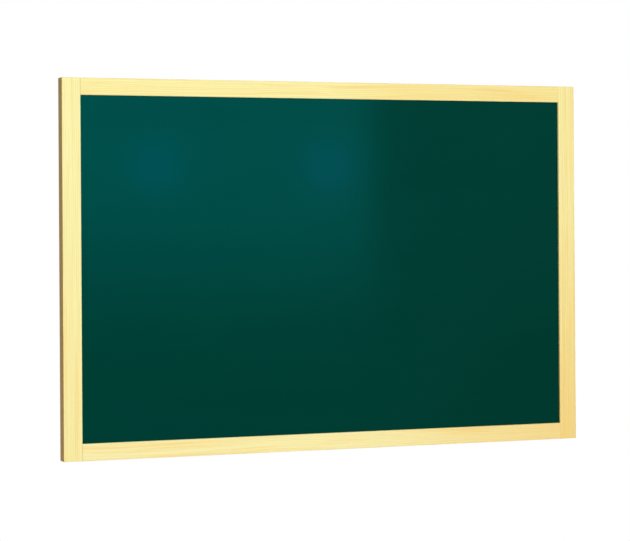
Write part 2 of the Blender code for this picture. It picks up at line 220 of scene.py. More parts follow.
def rounded_rectangle(width: float | Array, height: float | Array, radius: float, steps: int) -> Array:
    """Outline a rectangle whose four corners are quarter circles.

    Each point is its corner's centre plus the radius along an angle that runs once round the circle.

    Args:
        width: Its width, one value or one for each row.
        height: Its height, one value or one for each row.
        radius: Radius of the corners.
        steps: Points in each corner.
    Returns:
        Points as rows, columns and two coordinates, counterclockwise.
    """
    corner = np.repeat(np.arange(4), steps) * TURN / 4
    angle = corner + np.tile(np.linspace(0, TURN / 4, steps), 4)
    side = np.sign(np.cos(corner + TURN / 8))
    above = np.sign(np.sin(corner + TURN / 8))
    wide = np.atleast_1d(width)[:, None] / 2 - radius
    high = np.atleast_1d(height)[:, None] / 2 - radius
    across = side * wide + radius * np.cos(angle)
    up = above * high + radius * np.sin(angle)
    return np.stack(np.broadcast_arrays(across, up), axis=-1)


def swept(path: Array, across: Array, up: Array, section: Array) -> Array:
    """Carry a section along a path: path point plus across and up times the section's coordinates."""
    across, up = (np.broadcast_to(direction, path.shape)[:, None, :] for direction in (across, up))
    return path[:, None, :] + across * section[..., 0:1] + up * section[..., 1:2]


def turned(profile: Array, columns: int) -> Array:
    """Turn a profile round the Z axis: radius times (cosine, sine) of the column's angle, and height.

    Args:
        profile: Radius and height of each row, from the lowest to the highest.
        columns: Number of points round the axis.
    Returns:
        Grid of points as rows, columns and three coordinates.
    """
    angle = np.arange(columns) * TURN / columns
    radius, height = profile[:, :1], profile[:, 1:]
    grid = np.broadcast_arrays(radius * np.cos(angle), radius * np.sin(angle), height)
    return np.stack(grid, axis=-1)


def placed(points: Array, place: Triple | Array, axis: Triple | Array) -> Array:
    """Turn points so that their Z axis lies along another axis, then move them to a place."""
    turn = np.array(Vector(axis).to_track_quat("Z", "Y").to_matrix())
    return points @ turn.T + np.array(place)


# Finishes


class Grain(Enum):
    """Direction of a pine member's grain, as the turn that brings it to a pattern's third axis."""

    UPRIGHT = (0.0, 0.0, 0.0)
    LEVEL = (0.0, math.pi / 2, 0.0)


@dataclass(frozen=True)
class Finish:
    """A procedural surface with its name."""

    name: str

    def surface(self, tree: NodeTree) -> Surface:
        """Make the inputs of the shader and of its bump, which each finish does in its own way."""
        raise NotImplementedError

    def material(self) -> Material:
        """Make the material from the finish's own surface.

        Returns:
            The material.
        """
        material = bpy.data.materials.new(self.name)
        tree = empty_tree(material)
        shading, relief = self.surface(tree)
        shader = add_node(tree, "BsdfPrincipled", {**shading, "Normal": add_node(tree, "Bump", relief)})
        add_node(tree, "OutputMaterial", {"Surface": shader})
        return material


@dataclass(frozen=True)
class PlanedPine(Finish):
    """Pine planed smooth, bare or under a thin lacquer that hardly shines.

    Growth rings are circles round the tree's pith, which lies outside the member, so they show as
    close straight lines on the face, as wide bands on the narrow sides and as arcs on the ends.
    """

    grain: Grain
    pith: Triple
    earlywood: str = "#FBF2AC"
    latewood: str = "#F6E287"
    streak_tone: str = "#FAD67E"
    duct_tone: str = "#C79A55"
    # Painted shade: a tone that darkens the colour towards one corner, along a direction, over a span in
    # metres, to a depth
    painted_shade: str = "#FCE9D2"
    painted_shade_along: Triple = (1.0, 0.0, -1.0)
    painted_shade_span: Pair = (0.25, 0.80)
    painted_shade_depth: float = 1.0
    # Painted shade of the outer sides, which begins past the face's outline, given in metres
    painted_side_shade: str = "#FBE9E2"
    outline: Triple = (0.450, 1.0, 0.300)
    ring_spacing: float = 0.0033
    sheen: float = 0.08
    roughness: Pair = (0.56, 0.68)

    def surface(self, tree: NodeTree) -> Surface:
        """Make the wood: rings, streaks and fibres in its colour, and the fibres in its gloss.

        Args:
            tree: The material's node tree.
        Returns:
            Inputs of the shader and inputs of its bump.
        """
        place = add_node(tree, "TexCoord").outputs["Object"]
        member = {"Vector": place, "Rotation": self.grain.value, "Location": self.pith}
        turned_place = add_node(tree, "Mapping", member)
        # The tree's slow bends: rings stray up to 2.5 mm over about 0.3 m of length
        bend_place = add_node(tree, "Mapping", {"Vector": turned_place, "Scale": (9.0, 9.0, 3.4)})
        bend = add_node(tree, "TexNoise", {"Vector": bend_place, "Scale": 1.0, "Detail": 2.0})
        stray = {0: bend.outputs["Color"], 1: (0.012, 0.012, 0.0), 2: (-0.006, -0.006, 0.0)}
        shift = add_node(tree, "VectorMath", stray, operation="MULTIPLY_ADD")
        wood = add_node(tree, "VectorMath", {0: turned_place, 1: shift})
        # Rings: distance from the pith over the ring spacing, with uneven widths
        flat = add_node(tree, "VectorMath", {0: wood, 1: (1.0, 1.0, 0.0)}, operation="MULTIPLY")
        reach = add_node(tree, "VectorMath", {0: flat}, operation="LENGTH").outputs["Value"]
        years = add_node(tree, "TexNoise", {"W": reach, "Scale": 90.0}, noise_dimensions="1D")
        rings = {0: reach, 1: 1 / self.ring_spacing, 2: years}
        count = add_node(tree, "Math", rings, operation="MULTIPLY_ADD")
        part = add_node(tree, "Math", {0: count}, operation="FRACT")
        stops = ((0.0, 0.35), (1.0, 0.35), (0.14, 0.0), (0.5, 0.12), (0.86, 1.0))
        band = add_node(tree, "ValToRGB", {0: part}, stops)
        year = add_node(tree, "Math", {0: count}, operation="FLOOR")
        vigour = add_node(tree, "TexWhiteNoise", {"W": year}, noise_dimensions="1D")
        strength = add_node(tree, "MapRange", {0: vigour, 3: 0.4, 4: 1.0})
        ring = add_node(tree, "Math", {0: band, 1: strength}, operation="MULTIPLY")
        # Fibres 1.8 mm wide, coarser than real ones so that they show at the photograph's scale,
        # resinous streaks 6 mm wide and 0.2 m long, and resin ducts 0.4 mm wide and 7 mm long
        patterns = []
        for scale, detail, roughness in (
            ((560.0, 560.0, 8.0), 4.0, 0.65),
            ((160.0, 160.0, 4.5), 2.0, 0.5),
            ((2400.0, 2400.0, 150.0), 2.0, 0.5),
        ):
            spot = add_node(tree, "Mapping", {"Vector": wood, "Scale": scale})
            noise = {"Vector": spot, "Scale": 1.0, "Detail": detail, "Roughness": roughness}
            patterns.append(add_node(tree, "TexNoise", noise))
        fibre, resin, duct = patterns
        streaks = add_node(tree, "MapRange", {0: resin, 1: 0.5, 2: 0.72, 3: 0.0, 4: 0.5})
        ducts = add_node(tree, "MapRange", {0: duct, 1: 0.66, 2: 0.76, 3: 0.0, 4: 0.35})
        colour = linear(self.earlywood)
        for share, tone in ((ring, self.latewood), (streaks, self.streak_tone), (ducts, self.duct_tone)):
            blend = {0: share, 6: colour, 7: linear(tone)}
            colour = add_node(tree, "Mix", blend, data_type="RGBA").outputs[2]
        shine = add_node(tree, "MapRange", {0: fibre, **NOISE_SPAN, 3: 0.95, 4: 1.03})
        colour = add_node(tree, "HueSaturation", {"Color": colour, "Value": shine})
        # Painted shade: the colour darkens a little towards one corner, where the light falls off
        along = add_node(tree, "VectorMath", {0: place, 1: self.painted_shade_along}, operation="DOT_PRODUCT")
        low, high = self.painted_shade_span
        span = {0: along.outputs["Value"], 1: low, 2: high, 3: 0.0, 4: self.painted_shade_depth}
        painted_shade_share = add_node(tree, "MapRange", span, interpolation_type="SMOOTHSTEP")
        # Painted shade: the outer sides are tinted darker and warmer than the face; the share is 1 past the
        # face's rounded edge
        size = add_node(tree, "VectorMath", {0: place}, operation="ABSOLUTE")
        beyond = add_node(tree, "VectorMath", {0: size, 1: self.outline}, operation="SUBTRACT")
        sides = add_node(tree, "SeparateXYZ", {0: beyond}).outputs
        nearest = add_node(tree, "Math", {0: sides["X"], 1: sides["Z"]}, operation="MAXIMUM")
        painted_side_share = add_node(tree, "MapRange", {0: nearest, 1: -0.0004, 2: -0.0001})
        # Multiply in both painted shades
        for share, tone in ((painted_shade_share, self.painted_shade), (painted_side_share, self.painted_side_shade)):
            blend = {0: share, 6: colour, 7: linear(tone)}
            colour = add_node(tree, "Mix", blend, data_type="RGBA", blend_type="MULTIPLY").outputs[2]
        smooth, rough = self.roughness
        gloss = add_node(tree, "MapRange", {0: fibre, **NOISE_SPAN, 3: smooth, 4: rough})
        height = add_node(tree, "Math", {0: ring, 1: 0.5, 2: fibre}, operation="MULTIPLY_ADD")
        shading = {"Base Color": colour, "Roughness": gloss, "IOR": 1.5, "Specular IOR Level": self.sheen}
        return shading, {"Height": height, "Strength": 0.35, "Distance": 0.00008}


@dataclass(frozen=True)
class TwoTone(Finish):
    """A finish between two close tones and two roughnesses, each led by a pattern."""

    dark: str
    light: str
    roughness: Pair

    def tones(self, tree: NodeTree, shade: Inputs, gloss: Inputs | None = None) -> Inputs:
        """Blend the two tones and the two roughnesses by their patterns.

        Args:
            tree: The material's node tree.
            shade: The tones' pattern and its limits, as inputs 0 to 2 of a Map Range.
            gloss: The roughnesses' pattern and its limits, or None for those of the tones.
        Returns:
            The shader's colour and roughness.
        """
        blend = {0: add_node(tree, "MapRange", shade), 6: linear(self.dark), 7: linear(self.light)}
        colour = add_node(tree, "Mix", blend, data_type="RGBA").outputs[2]
        start, end = self.roughness
        span = {**(gloss or shade), 3: start, 4: end}
        return {"Base Color": colour, "Roughness": add_node(tree, "MapRange", span)}


@dataclass(frozen=True)
class BoardLacquer(TwoTone):
    """Dark green writing lacquer, sprayed on sheet steel and stoved.

    It gives a deep green with a teal, slightly soft reflection, faint wiping marks and a fine
    orange peel that only shows close to.
    """

    dark: str = "#002F1E"
    light: str = "#003322"
    roughness: Pair = (0.11, 0.135)
    reflection: str = "#00E6F9"
    wipe: Pair = (0.5, 0.09)

    def surface(self, tree: NodeTree) -> Surface:
        """Make the lacquer: wiping marks in colour and gloss, and a fine orange peel.

        Args:
            tree: The material's node tree.
        Returns:
            Inputs of the shader and inputs of its bump.
        """
        place = add_node(tree, "TexCoord").outputs["Object"]
        # Wiping marks run along the board, 0.5 m long and 90 mm high
        length, height = self.wipe
        wipe_place = add_node(tree, "Mapping", {"Vector": place, "Scale": (1 / length, 1.0, 1 / height)})
        noise = {"Vector": wipe_place, "Scale": 1.0, "Detail": 5.0, "Roughness": 0.6}
        wipe = {0: add_node(tree, "TexNoise", noise), **NOISE_SPAN}
        mirror = {"IOR": 1.5, "Specular IOR Level": 0.25, "Specular Tint": linear(self.reflection)}
        # Orange peel with dimples 2.5 mm apart
        peel = add_node(tree, "TexNoise", {"Vector": place, "Scale": 400.0, "Detail": 1.0})
        relief = {"Height": peel, "Strength": 0.3, "Distance": 0.000012}
        return {**self.tones(tree, wipe), **mirror}, relief


@dataclass(frozen=True)
class GalvanisedSteel(TwoTone):
    """Hot-dip galvanised sheet steel.

    It gives dull grey metal in flat crystals about 12 mm across, each a little lighter or darker
    and more or less glossy than the next.
    """

    dark: str = "#A8ADB1"
    light: str = "#C2C6C9"
    roughness: Pair = (0.38, 0.55)
    crystal: float = 0.012

    def surface(self, tree: NodeTree) -> Surface:
        """Make the metal: one tone and gloss for each crystal, and fine feathers in it.

        Args:
            tree: The material's node tree.
        Returns:
            Inputs of the shader and inputs of its bump.
        """
        place = add_node(tree, "TexCoord").outputs["Object"]
        # The crystals' edges stray by about 1 mm
        stray = add_node(tree, "TexNoise", {"Vector": place, "Scale": 160.0, "Detail": 3.0})
        shift = {0: stray.outputs["Color"], 1: (0.004, 0.004, 0.004), 2: place}
        edge_place = add_node(tree, "VectorMath", shift, operation="MULTIPLY_ADD")
        cell = add_node(tree, "TexVoronoi", {"Vector": edge_place, "Scale": 1 / self.crystal})
        tone = add_node(tree, "SeparateColor", {0: cell.outputs["Color"]}).outputs
        # Feathers 0.9 mm wide and 7 mm long inside each crystal, in a direction of its own
        turn = add_node(tree, "Math", {0: tone[1], 1: TURN}, operation="MULTIPLY")
        own_place = add_node(tree, "VectorRotate", {"Vector": place, "Angle": turn}, rotation_type="Y_AXIS")
        feather_place = add_node(tree, "Mapping", {"Vector": own_place, "Scale": (1100.0, 140.0, 140.0)})
        feather = add_node(tree, "TexNoise", {"Vector": feather_place, "Scale": 1.0, "Detail": 3.0})
        mixed = add_node(tree, "Math", {0: tone[0], 1: 0.55, 2: feather}, operation="MULTIPLY_ADD")
        shading = self.tones(tree, {0: mixed, 1: 0.3, 2: 1.25}, {0: tone[1]})
        return {**shading, "Metallic": 1.0}, {"Height": tone[2], "Strength": 0.2, "Distance": 0.00003}


@dataclass(frozen=True)
class ZincPlatedSteel(TwoTone):
    """Pressed or drawn steel with bright zinc plate.

    It gives a cool silver with faint tumbling marks and cloudy, uneven gloss.
    """

    dark: str = "#B9BEC4"
    light: str = "#D3D7DB"
    roughness: Pair = (0.36, 0.24)

    def surface(self, tree: NodeTree) -> Surface:
        """Make the plate: cloudy tone, uneven gloss and tumbling marks.

        Args:
            tree: The material's node tree.
        Returns:
            Inputs of the shader and inputs of its bump.
        """
        place = add_node(tree, "TexCoord").outputs["Object"]
        # Clouds 3 mm across and tumbling marks 0.3 mm across
        clouds = add_node(tree, "TexNoise", {"Vector": place, "Scale": 330.0, "Detail": 3.0})
        marks = add_node(tree, "TexNoise", {"Vector": place, "Scale": 3200.0, "Detail": 2.0})
        shading = self.tones(tree, {0: clouds, **NOISE_SPAN})
        return {**shading, "Metallic": 1.0}, {"Height": marks, "Strength": 0.25, "Distance": 0.00002}


@dataclass(frozen=True)
class SpeckledMatte(TwoTone):
    """A dull material of fine particles or fibres: fibreboard, raw beech, dried glue or moulded rubber.

    It gives two close tones in specks of one real size, stretched along the fibres if there are any,
    with no gloss to speak of.
    """

    speck: Triple
    relief: float

    def surface(self, tree: NodeTree) -> Surface:
        """Make the surface: specks in colour, gloss and height.

        Args:
            tree: The material's node tree.
        Returns:
            Inputs of the shader and inputs of its bump.
        """
        place = add_node(tree, "TexCoord").outputs["Object"]
        scale = tuple(1 / size for size in self.speck)
        speck_place = add_node(tree, "Mapping", {"Vector": place, "Scale": scale})
        specks = add_node(tree, "TexNoise", {"Vector": speck_place, "Scale": 1.0, "Detail": 4.0})
        shading = self.tones(tree, {0: specks, **NOISE_SPAN})
        return shading, {"Height": specks, "Strength": 0.4, "Distance": self.relief}


# Sub-assemblies


@dataclass
class PineFrame:
    """The four frame members and their dowels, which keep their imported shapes, and their glue lines."""

    width: float = 0.900
    height: float = 0.600
    stile_width: float = 0.030
    rail_width: float = 0.027
    front: float = -0.0268
    depth: float = 0.0220
    lip: float = 0.0040
    rebate: float = 0.0080
    arris: float = 0.0006
    joint_gap: float = 0.0003
    glue_width: float = 0.00024
    glue_inset: float = 0.00012
    glue_reach: float = 0.0012
    pith_reach: float = 0.095

    def finishes(self) -> dict[str, PlanedPine]:
        """Choose the wood of each member: its grain, its pith and its painted shade.

        Returns:
            The finish of each member by its node's name.
        """
        wood = "pine planed and lacquered"
        stile = (self.width - self.stile_width) / 2 + self.pith_reach
        rail = (self.height - self.rail_width) / 2 + self.pith_reach
        # Each member's painted shade darkens it towards the lower right, the left stile towards its bottom
        # and the top rail towards its right end
        return {
            "left_stile": PlanedPine(
                f"{wood}, left stile",
                Grain.UPRIGHT,
                (stile, 0.038, 0.37),
                earlywood="#FBF5B3",
                latewood="#F6E690",
                painted_shade_along=(0.0, 0.0, -1.0),
                painted_shade_span=(-0.25, 0.30),
                painted_shade_depth=0.3,
            ),
            "right_stile": PlanedPine(
                f"{wood}, right stile", Grain.UPRIGHT, (-stile, 0.045, 1.93), "#FBF2AE", "#EFD672"
            ),
            "top_rail": PlanedPine(
                f"{wood}, top rail",
                Grain.LEVEL,
                (-rail, 0.050, 2.71),
                painted_shade_along=(1.0, 0.0, 0.0),
                painted_shade_span=(-0.02, 0.14),
                painted_shade_depth=0.45,
            ),
            "bottom_rail": PlanedPine(
                f"{wood}, bottom rail", Grain.LEVEL, (rail, 0.042, 4.19), "#FBF2B4", "#F6E28E"
            ),
        }

    def dress(self, beech: Material) -> None:
        """Finish the members and the dowels.

        Args:
            beech: The dowels' material.
        """
        for name, finish in self.finishes().items():
            dress_node(name, finish.material())
        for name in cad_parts:
            if name.startswith("dowel_"):
                dress_node(name, beech)

    def glue_rings(self, side: int, up: int) -> Array:
        """Carry a thin section round the end of a rail, just inside its faces.

        Each row is a corner of the rail's outline, its rounded corners cut off, moved inwards by the
        inset and by the inset plus the reach, at both sides of the joint's middle plane.

        Args:
            side: -1 for the left joint, 1 for the right.
            up: 1 for the top rail, -1 for the bottom.
        Returns:
            Grid of points as rows, four columns and three coordinates.
        """
        front, back, step = self.front, self.front + self.depth, self.front + self.lip
        outer = self.height / 2
        inner, shelf = outer - self.rail_width, outer - self.rail_width + self.rebate
        cut = self.arris
        lower = [(front, inner + cut), (front + cut, inner), (step, inner), (step, shelf), (back, shelf)]
        upper = [(back, outer - cut), (back - cut, outer), (front + cut, outer), (front, outer - cut)]
        corners = np.array(lower + upper)
        inwards = np.array([(1, 1), (1, 1), (-1, 1), (-1, 1), (-1, 1), (-1, -1), (-1, -1), (1, -1), (1, -1)])
        near = corners + inwards * self.glue_inset
        far = near + inwards * self.glue_reach
        middle = side * (self.width / 2 - self.stile_width - self.joint_gap / 2)
        half = self.glue_width / 2
        rows = np.stack([near, far, far, near], axis=1)
        across = np.broadcast_to(middle + np.array([-half, -half, half, half]), (len(corners), 4))
        grid = np.stack([across, rows[..., 0], rows[..., 1] * up], axis=-1)
        return grid[::up]

    def build_glue(self, glue: Material) -> None:
        """Fill the four corner joints with a line of glue, flush with the wood.

        Args:
            glue: The glue's material.
        """
        for corner, up, side in CORNERS:
            add_piece(f"glue_line_{corner}", self.glue_rings(side, up), glue, joined=True)


@dataclass
class WritingPanel:
    """The lacquered sheet, its core and its backing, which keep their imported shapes."""

    chip: Triple = (0.002, 0.0008, 0.002)

    def dress(self) -> None:
        """Finish the three layers."""
        fibreboard = ("#87613B", "#A9845A", (0.91, 0.79), self.chip, 0.00008)
        finishes = {
            "writing_sheet": BoardLacquer("board lacquer, dark green, stoved"),
            "core_board": SpeckledMatte("fibreboard pressed, raw", *fibreboard),
            "backing_sheet": GalvanisedSteel("galvanised sheet steel, spangled"),
        }
        for name, finish in finishes.items():
            dress_node(name, finish.material())


@dataclass
class Beads:
    """Pine beads that hold the panel in the rebate, and the pins through them."""

    half_length: float = 0.4277
    half_height: float = 0.2807
    side_half_length: float = 0.2709
    width: float = 0.0095
    thickness: float = 0.0068
    middle_y: float = -0.0082
    arris: float = 0.0008
    end_break: float = 0.0003
    seat_gap: float = 0.0003
    pin_radius: float = 0.0007
    pin_bite: float = 0.0070
    pin_point: float = 0.0020
    pin_tip_radius: float = 0.00005
    pin_head_radius: float = 0.0013
    pin_head_height: float = 0.0006
    pin_inset: float = 0.045
    long_pins: int = 3
    short_pins: int = 2

    def bead_rings(self, half: float, reach: float, along: Array, out: Array) -> Array:
        """Carry the bead's rounded section along its length, with its ends just broken.

        Args:
            half: Half of the bead's length.
            reach: Distance from the board's middle to the bead's outer side.
            along: Unit direction of the bead's length.
            out: Unit direction from the board's middle to the bead.
        Returns:
            Grid of points in the bead's place.
        """
        middle = out * (reach - self.width / 2) + np.array([0.0, self.middle_y, 0.0])
        cut = self.end_break
        station = np.array([-half, -half + cut / 3, -half + cut, half - cut, half - cut / 3, half])
        inset = np.array([cut, cut / 3, 0.0, 0.0, cut / 3, cut])
        section = rounded_rectangle(self.width - 2 * inset, self.thickness - 2 * inset, self.arris, steps=7)
        return swept(middle + station[:, None] * along, out, np.cross(along, out), section)

    def pin_rings(self) -> Array:
        """Turn a pin that points down, with a domed head above its seat.

        Returns:
            Grid of points, with the underside of the head at height 0.
        """
        length = 2 * self.seat_gap + self.width + self.pin_bite
        dome, _ = arc((0.0, self.pin_head_height / 3), self.pin_head_height * 2 / 3, 8, 88, steps=7)
        dome[:, 0] *= self.pin_head_radius / (self.pin_head_height * 2 / 3)
        point = [(self.pin_tip_radius, -length), (self.pin_radius, self.pin_point - length)]
        stem = point + [(self.pin_radius, 0.0), (self.pin_head_radius, 0.0)]
        return turned(np.vstack([stem, dome]), columns=24)

    def build(self, pine: dict[str, Material], zinc: Material) -> None:
        """Build the four beads and their pins.

        Args:
            pine: The pine of the long and of the short beads.
            zinc: The pins' material.
        """
        level, upright = np.array([1.0, 0.0, 0.0]), np.array([0.0, 0.0, 1.0])
        pins = self.pin_rings()
        long_bead = (level, self.half_length, self.long_pins, self.half_height)
        short_bead = (upright, self.side_half_length, self.short_pins, self.half_length)
        edges = (
            ("top", upright, *long_bead),
            ("bottom", -upright, *long_bead),
            ("left", -level, *short_bead),
            ("right", level, *short_bead),
        )
        for edge, out, along, half, count, reach in edges:
            rings = self.bead_rings(half, reach, along, out)
            add_piece(f"{edge}_bead", rings, pine["long" if along[0] else "short"])
            seat = reach - self.width - self.seat_gap
            for number, share in enumerate(np.linspace(-1, 1, count), start=1):
                place = out * seat + along * share * (half - self.pin_inset)
                place = place + np.array([0.0, self.middle_y, 0.0])
                pin = placed(pins, place, -out)
                add_piece(f"bead_pin_{edge}_{number}", pin, zinc)


@dataclass
class RingHangers:
    """A folded strap, a swinging ring and two pan-head screws on the back of each stile."""

    axis_x: float = 0.439
    axis_y: float = -0.00245
    axis_z: float = 0.200
    strap_width: float = 0.0100
    strap_length: float = 0.0348
    gauge: float = 0.0008
    sheared_edge: float = 0.0002
    fold_gap: float = 0.00004
    end_radius: float = 0.0030
    bore_radius: float = 0.00125
    fold_radius: float = 0.0010
    wire_radius: float = 0.0010
    ring_half_width: float = 0.0080
    ring_corner: float = 0.0020
    ring_side: float = 0.0032
    rest_tilt: float = math.radians(4.35)
    screw_drops: Pair = (0.0168, 0.0288)
    screw_radius: float = 0.0015
    thread_depth: float = 0.0004
    thread_pitch: float = 0.00135
    thread_fade: float = 0.0012
    screw_length: float = 0.0130
    screw_point: float = 0.0030
    screw_tip_share: float = 0.03
    head_lift: float = 0.00005
    head_fillet: float = 0.0002
    head_edge: float = 0.0001
    head_radius: float = 0.0031
    head_height: float = 0.0021
    head_centre: float = 0.00004
    recess_length: float = 0.0034
    recess_width: float = 0.0009
    recess_depth: float = 0.0012
    recess_slope: float = 0.00022
    seat_gap: float = 0.0003

    def strap_path(self) -> tuple[Array, Array, Array]:
        """Follow the middle of the folded sheet in its side view.

        The outer layer rises from its end, turns out through a small fillet that touches the loop,
        goes round the loop to the side of the stile and comes down as the inner layer.

        Returns:
            The path's points (outwards, up), the unit directions to the left of it, and the
            distance of each point from the nearer end of the sheet.
        """
        loop = self.bore_radius + self.gauge / 2
        outer_y = self.gauge - loop
        fillet_y = outer_y + self.fold_radius
        fillet_z = -math.sqrt((loop + self.fold_radius) ** 2 - fillet_y**2)
        meet = math.degrees(math.atan2(-fillet_z, -fillet_y))
        rounding = self.end_radius * (1 - np.cos(np.linspace(0, TURN / 4, 10)))
        outer_top, inner_top = self.strap_length + fillet_z, self.strap_length
        rise = np.concatenate([rounding, np.linspace(self.end_radius, outer_top, 12)[1:-1]])
        fall = np.concatenate([rounding, np.linspace(self.end_radius, inner_top, 12)[1:-1]])[::-1]
        outer = np.stack([np.full(len(rise), outer_y), rise - self.strap_length], axis=-1)
        inner = np.stack([np.full(len(fall), -loop), fall - self.strap_length], axis=-1)
        fillet, fillet_out = arc((fillet_y, fillet_z), self.fold_radius, 180, meet, steps=12)
        ring, ring_out = arc((0.0, 0.0), loop, meet - 180, 180, steps=44)
        points = np.vstack([outer, fillet, ring[1:], inner])
        towards, away = np.tile([-1.0, 0.0], (len(rise), 1)), np.tile([1.0, 0.0], (len(fall), 1))
        left = np.vstack([towards, fillet_out, -ring_out[1:], away])
        far = np.full(len(fillet) + len(ring) - 1, self.end_radius)
        return points, left, np.concatenate([rise, far, fall])

    def strap_rings(self) -> Array:
        """Carry the sheet's section along its folded path, narrowed at both ends to round them.

        The half width near an end is that of a rectangle with corners of the end radius.

        Returns:
            Grid of points round the ring's axis.
        """
        points, left, distance = self.strap_path()
        short = self.end_radius - np.minimum(distance, self.end_radius)
        width = self.strap_width - 2 * (self.end_radius - np.sqrt(self.end_radius**2 - short**2))
        section = rounded_rectangle(width, self.gauge - self.fold_gap, self.sheared_edge, steps=4)
        path = np.insert(points, 0, 0.0, axis=1)
        return swept(path, np.array([-1.0, 0.0, 0.0]), np.insert(left, 0, 0.0, axis=1), section)

    def ring_rings(self) -> Array:
        """Carry the wire's round section along the ring's closed path, then tilt it to hang at rest.

        The path is two corner arcs and a half circle in one plane, joined by straight lines.

        Returns:
            Grid of points round the ring's axis.
        """
        inset = self.ring_half_width - self.ring_corner
        arcs = (
            arc((inset, -self.ring_corner), self.ring_corner, 90, 0, steps=10),
            arc((0.0, -self.ring_side), self.ring_half_width, 0, -180, steps=60),
            arc((-inset, -self.ring_corner), self.ring_corner, 180, 90, steps=10),
        )
        path = np.insert(np.vstack([points for points, _ in arcs]), 1, 0.0, axis=1)
        across = np.insert(np.vstack([outward for _, outward in arcs]), 1, 0.0, axis=1)
        section, _ = arc((0.0, 0.0), self.wire_radius, 0, 345, steps=24)
        grid = swept(path, across, np.array([0.0, -1.0, 0.0]), section[None])
        tilt = np.array(Matrix.Rotation(self.rest_tilt, 3, "X"))
        return grid @ tilt.T

    def screw_rings(self) -> Array:
        """Turn a screw that points down: a point, a threaded shank and a head with a cross recess.

        The shank's radius is its core plus a triangle wave of height and angle. The head is flat in
        the middle and elliptical towards its rim, less two crossed slots with sloping walls. Its
        underside is lifted a little off the strap.

        Returns:
            Grid of points, with the strap at the seat gap below height 0.
        """
        columns = 96
        angle = np.arange(columns) * TURN / columns
        under = self.head_lift - self.seat_gap
        height = np.linspace(-self.screw_length, under - self.head_fillet, 96)
        taper = np.clip((height + self.screw_length) / self.screw_point, self.screw_tip_share, 1.0)
        phase = height[:, None] / self.thread_pitch - angle / TURN
        crest = np.clip(np.abs((phase % 1) * 2 - 1) * 2 - 1, 0, 1)
        core = self.screw_radius - self.thread_depth
        fade = np.clip(-height / self.thread_fade, 0, 1)[:, None]
        shank = (core + self.thread_depth * crest * fade) * taper[:, None]
        side = np.linspace(0, TURN / 4, 12)
        rim = self.head_radius * (1 + np.cos(side)) / 2
        rim_height = self.head_height * (1 + np.sin(side)) / 2
        flat = np.linspace(self.head_radius / 2, self.head_centre, 34)[1:]
        radius = np.concatenate([[core, self.head_radius - self.head_edge, self.head_radius], rim, flat])
        foot = [under, under, under + self.head_edge]
        level = np.concatenate([foot, rim_height, np.full(len(flat), self.head_height)])
        top = turned(np.stack([radius, level], axis=-1), columns)
        reach = np.abs(top[..., :2])
        arms = [
            np.clip((self.recess_length / 2 - reach[..., one]) / self.recess_slope, 0, 1)
            * np.clip((self.recess_width / 2 - reach[..., other]) / self.recess_slope, 0, 1)
            for one, other in ((0, 1), (1, 0))
        ]
        above = top[..., 2] > self.head_height / 2
        top[..., 2] -= np.where(above, self.recess_depth * np.maximum(*arms), 0.0)
        stem = np.broadcast_arrays(shank * np.cos(angle), shank * np.sin(angle), height[:, None])
        return np.vstack([np.stack(stem, axis=-1), top])

    def build(self, zinc: Material) -> None:
        """Build both hangers.

        Args:
            zinc: The material of straps, rings and screws.
        """
        strap, ring, screw = self.strap_rings(), self.ring_rings(), self.screw_rings()
        face_y = self.axis_y - self.bore_radius + self.gauge + self.seat_gap
        for hand, side in HANDS:
            axis = np.array([side * self.axis_x, self.axis_y, self.axis_z])
            add_piece(f"hanger_strap_{hand}", strap + axis, zinc)
            add_piece(f"hanger_ring_{hand}", ring + axis, zinc, f"ring_{hand}", joined=True)
            for height, drop in zip(("upper", "lower"), self.screw_drops):
                place = (side * self.axis_x, face_y, self.axis_z - drop)
                add_piece(f"hanger_screw_{hand}_{height}", placed(screw, place, TO_WALL), zinc)


@dataclass
class Bumpers:
    """Round rubber bumpers at the back of the frame's corners."""

    x: float = 0.439
    z: float = 0.284
    radius: float = 0.0055
    thickness: float = 0.0045
    rounding: float = 0.0008
    mould_radius: float = 0.0002
    centre_radius: float = 0.0012

    def rings(self) -> Array:
        """Turn a flat round pad whose wall-side rim is a quarter circle.

        Returns:
            Grid of points, with the frame side at height 0.
        """
        mould = self.mould_radius
        foot, _ = arc((self.radius - mould, mould), mould, -90, 0, steps=5)
        centre = (self.radius - self.rounding, self.thickness - self.rounding)
        rim, _ = arc(centre, self.rounding, 0, 90, steps=12)
        return turned(np.vstack([foot, rim, [(self.centre_radius, self.thickness)]]), columns=72)

    def build(self, rubber: Material) -> None:
        """Build the four bumpers.

        Args:
            rubber: The bumpers' material.
        """
        rings = self.rings()
        for corner, up, side in CORNERS:
            place = (side * self.x, -self.thickness, up * self.z)
            add_piece(f"bumper_{corner}", placed(rings, place, TO_WALL), rubber)


# Studio


@dataclass
class Lamp:
    """A rectangular softbox that faces the board's middle."""

    name: str
    place: Triple
    size: Pair
    watts: float
    colour: str = "#FFFFFF"

    def build(self) -> None:
        """Put the lamp in the scene."""
        data = bpy.data.lights.new(self.name, "AREA")
        data.shape = "RECTANGLE"
        data.size, data.size_y = self.size
        data.energy = self.watts
        data.color = linear(self.colour)[:3]
        lamp = bpy.data.objects.new(self.name, data)
        bpy.context.scene.collection.objects.link(lamp)
        lamp.location = self.place
        lamp.rotation_euler = (-Vector(self.place)).to_track_quat("-Z", "Y").to_euler()


